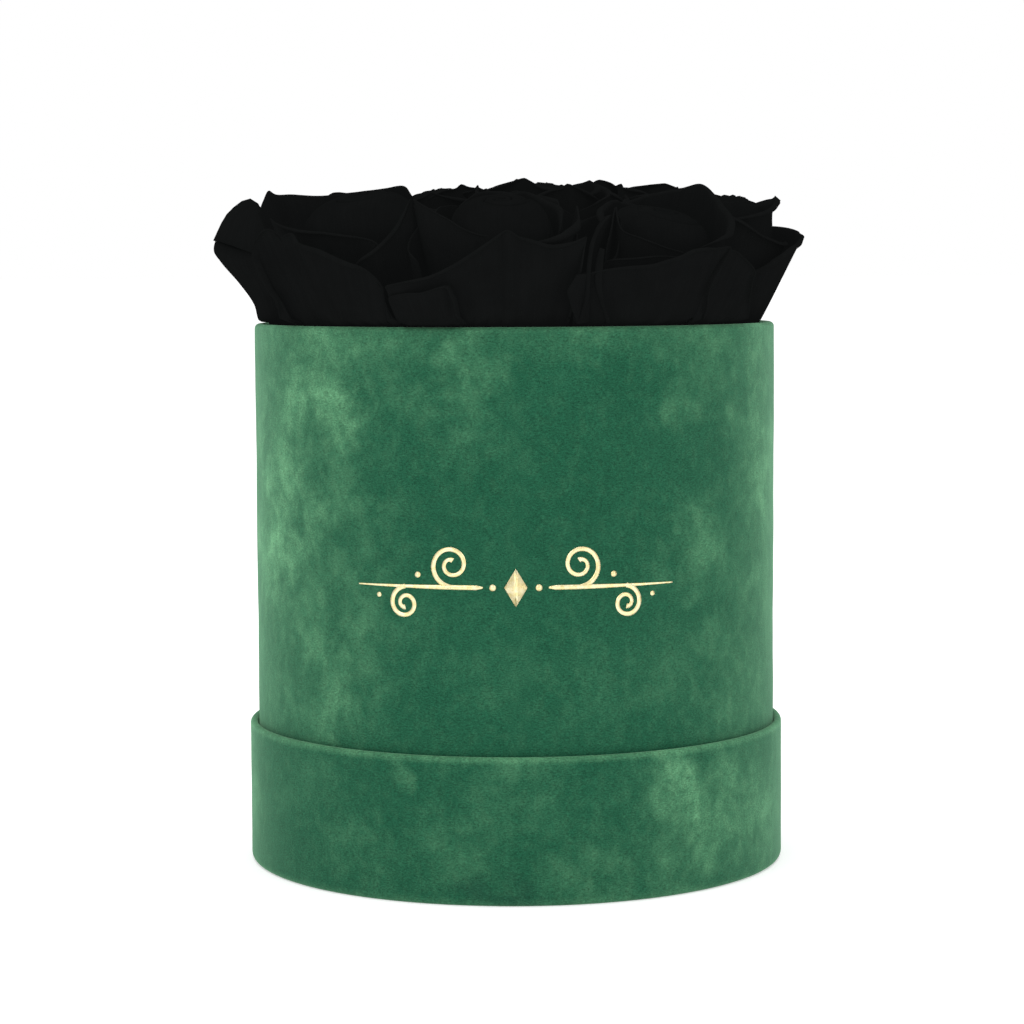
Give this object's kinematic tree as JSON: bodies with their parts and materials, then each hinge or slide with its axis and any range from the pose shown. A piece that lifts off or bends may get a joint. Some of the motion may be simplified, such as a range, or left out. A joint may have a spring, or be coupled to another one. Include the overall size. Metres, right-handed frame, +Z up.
{
  "type": "flower box",
  "caption": "Round velvet-covered flower box standing in its own upturned lid, with dark rose heads set in dry foam; the box lifts out of the lid and each rose draws out.",
  "frame": {"origin": "centre of the underside of the upturned lid, which is the face that the object stands on", "axes": "+Z up along the box's axis; the front, where the foil ornament is, faces -Y; +X to the viewer's right"},
  "size_m": [0.1804, 0.1805, 0.2092],
  "materials": {
    "velvet": "matte",
    "grey_board": "matte",
    "lining_paper": "matte",
    "floral_foam": "matte",
    "rose_petal": "matte",
    "rose_calyx": "matte",
    "rose_stem": "satin"
  },
  "bodies": {
    "lid": {"lid_top_velvet": "velvet", "lid_top_board": "grey_board", "lid_skirt_board": "grey_board", "lid_skirt_velvet": "velvet", "lid_lining_disc": "lining_paper", "lid_lining_band": "lining_paper"},
    "box": {"box_base_cover": "velvet", "box_base_board": "grey_board", "box_wall_board": "grey_board", "box_velvet_wrap": "velvet", "box_lining_disc": "lining_paper", "box_lining_band": "lining_paper", "lower_foam": "floral_foam", "upper_foam": "floral_foam"},
    "front_rose": {"front_rose_bloom": "rose_petal", "front_rose_calyx": "rose_calyx", "front_rose_stem": "rose_stem"},
    "front_right_rose": {"front_right_rose_bloom": "rose_petal", "front_right_rose_calyx": "rose_calyx", "front_right_rose_stem": "rose_stem"},
    "right_rose": {"right_rose_bloom": "rose_petal", "right_rose_calyx": "rose_calyx", "right_rose_stem": "rose_stem"},
    "back_right_rose": {"back_right_rose_bloom": "rose_petal", "back_right_rose_calyx": "rose_calyx", "back_right_rose_stem": "rose_stem"},
    "back_rose": {"back_rose_bloom": "rose_petal", "back_rose_calyx": "rose_calyx", "back_rose_stem": "rose_stem"},
    "back_left_rose": {"back_left_rose_bloom": "rose_petal", "back_left_rose_calyx": "rose_calyx", "back_left_rose_stem": "rose_stem"},
    "left_rose": {"left_rose_bloom": "rose_petal", "left_rose_calyx": "rose_calyx", "left_rose_stem": "rose_stem"},
    "front_left_rose": {"front_left_rose_bloom": "rose_petal", "front_left_rose_calyx": "rose_calyx", "front_left_rose_stem": "rose_stem"},
    "middle_front_rose": {"middle_front_rose_bloom": "rose_petal", "middle_front_rose_calyx": "rose_calyx", "middle_front_rose_stem": "rose_stem"},
    "middle_back_rose": {"middle_back_rose_bloom": "rose_petal", "middle_back_rose_calyx": "rose_calyx", "middle_back_rose_stem": "rose_stem"},
    "middle_left_rose": {"middle_left_rose_bloom": "rose_petal", "middle_left_rose_calyx": "rose_calyx", "middle_left_rose_stem": "rose_stem"}
  },
  "joints": [
    {"name": "box_lift", "type": "slide", "parent": "lid", "child": "box", "axis": [0, 0, 1], "range_m": [0, 0.045]},
    {"name": "front_rose_draw", "type": "slide", "parent": "box", "child": "front_rose", "axis": [-0.0178, -0.2918, 0.9563], "range_m": [0, 0.05]},
    {"name": "front_right_rose_draw", "type": "slide", "parent": "box", "child": "front_right_rose", "axis": [0.1899, -0.2223, 0.9563], "range_m": [0, 0.05]},
    {"name": "right_rose_draw", "type": "slide", "parent": "box", "child": "right_rose", "axis": [0.2917, -0.0204, 0.9563], "range_m": [0, 0.05]},
    {"name": "back_right_rose_draw", "type": "slide", "parent": "box", "child": "back_right_rose", "axis": [0.2173, 0.1956, 0.9563], "range_m": [0, 0.05]},
    {"name": "back_rose_draw", "type": "slide", "parent": "box", "child": "back_rose", "axis": [0.0102, 0.2922, 0.9563], "range_m": [0, 0.05]},
    {"name": "back_left_rose_draw", "type": "slide", "parent": "box", "child": "back_left_rose", "axis": [-0.2049, 0.2085, 0.9563], "range_m": [0, 0.05]},
    {"name": "left_rose_draw", "type": "slide", "parent": "box", "child": "left_rose", "axis": [-0.2923, 0.0051, 0.9563], "range_m": [0, 0.05]},
    {"name": "front_left_rose_draw", "type": "slide", "parent": "box", "child": "front_left_rose", "axis": [-0.2121, -0.2013, 0.9563], "range_m": [0, 0.05]},
    {"name": "middle_front_rose_draw", "type": "slide", "parent": "box", "child": "middle_front_rose", "axis": [0.0326, -0.0808, 0.9962], "range_m": [0, 0.05]},
    {"name": "middle_back_rose_draw", "type": "slide", "parent": "box", "child": "middle_back_rose", "axis": [0.0537, 0.0687, 0.9962], "range_m": [0, 0.05]},
    {"name": "middle_left_rose_draw", "type": "slide", "parent": "box", "child": "middle_left_rose", "axis": [-0.0863, 0.0121, 0.9962], "range_m": [0, 0.05]}
  ]
}
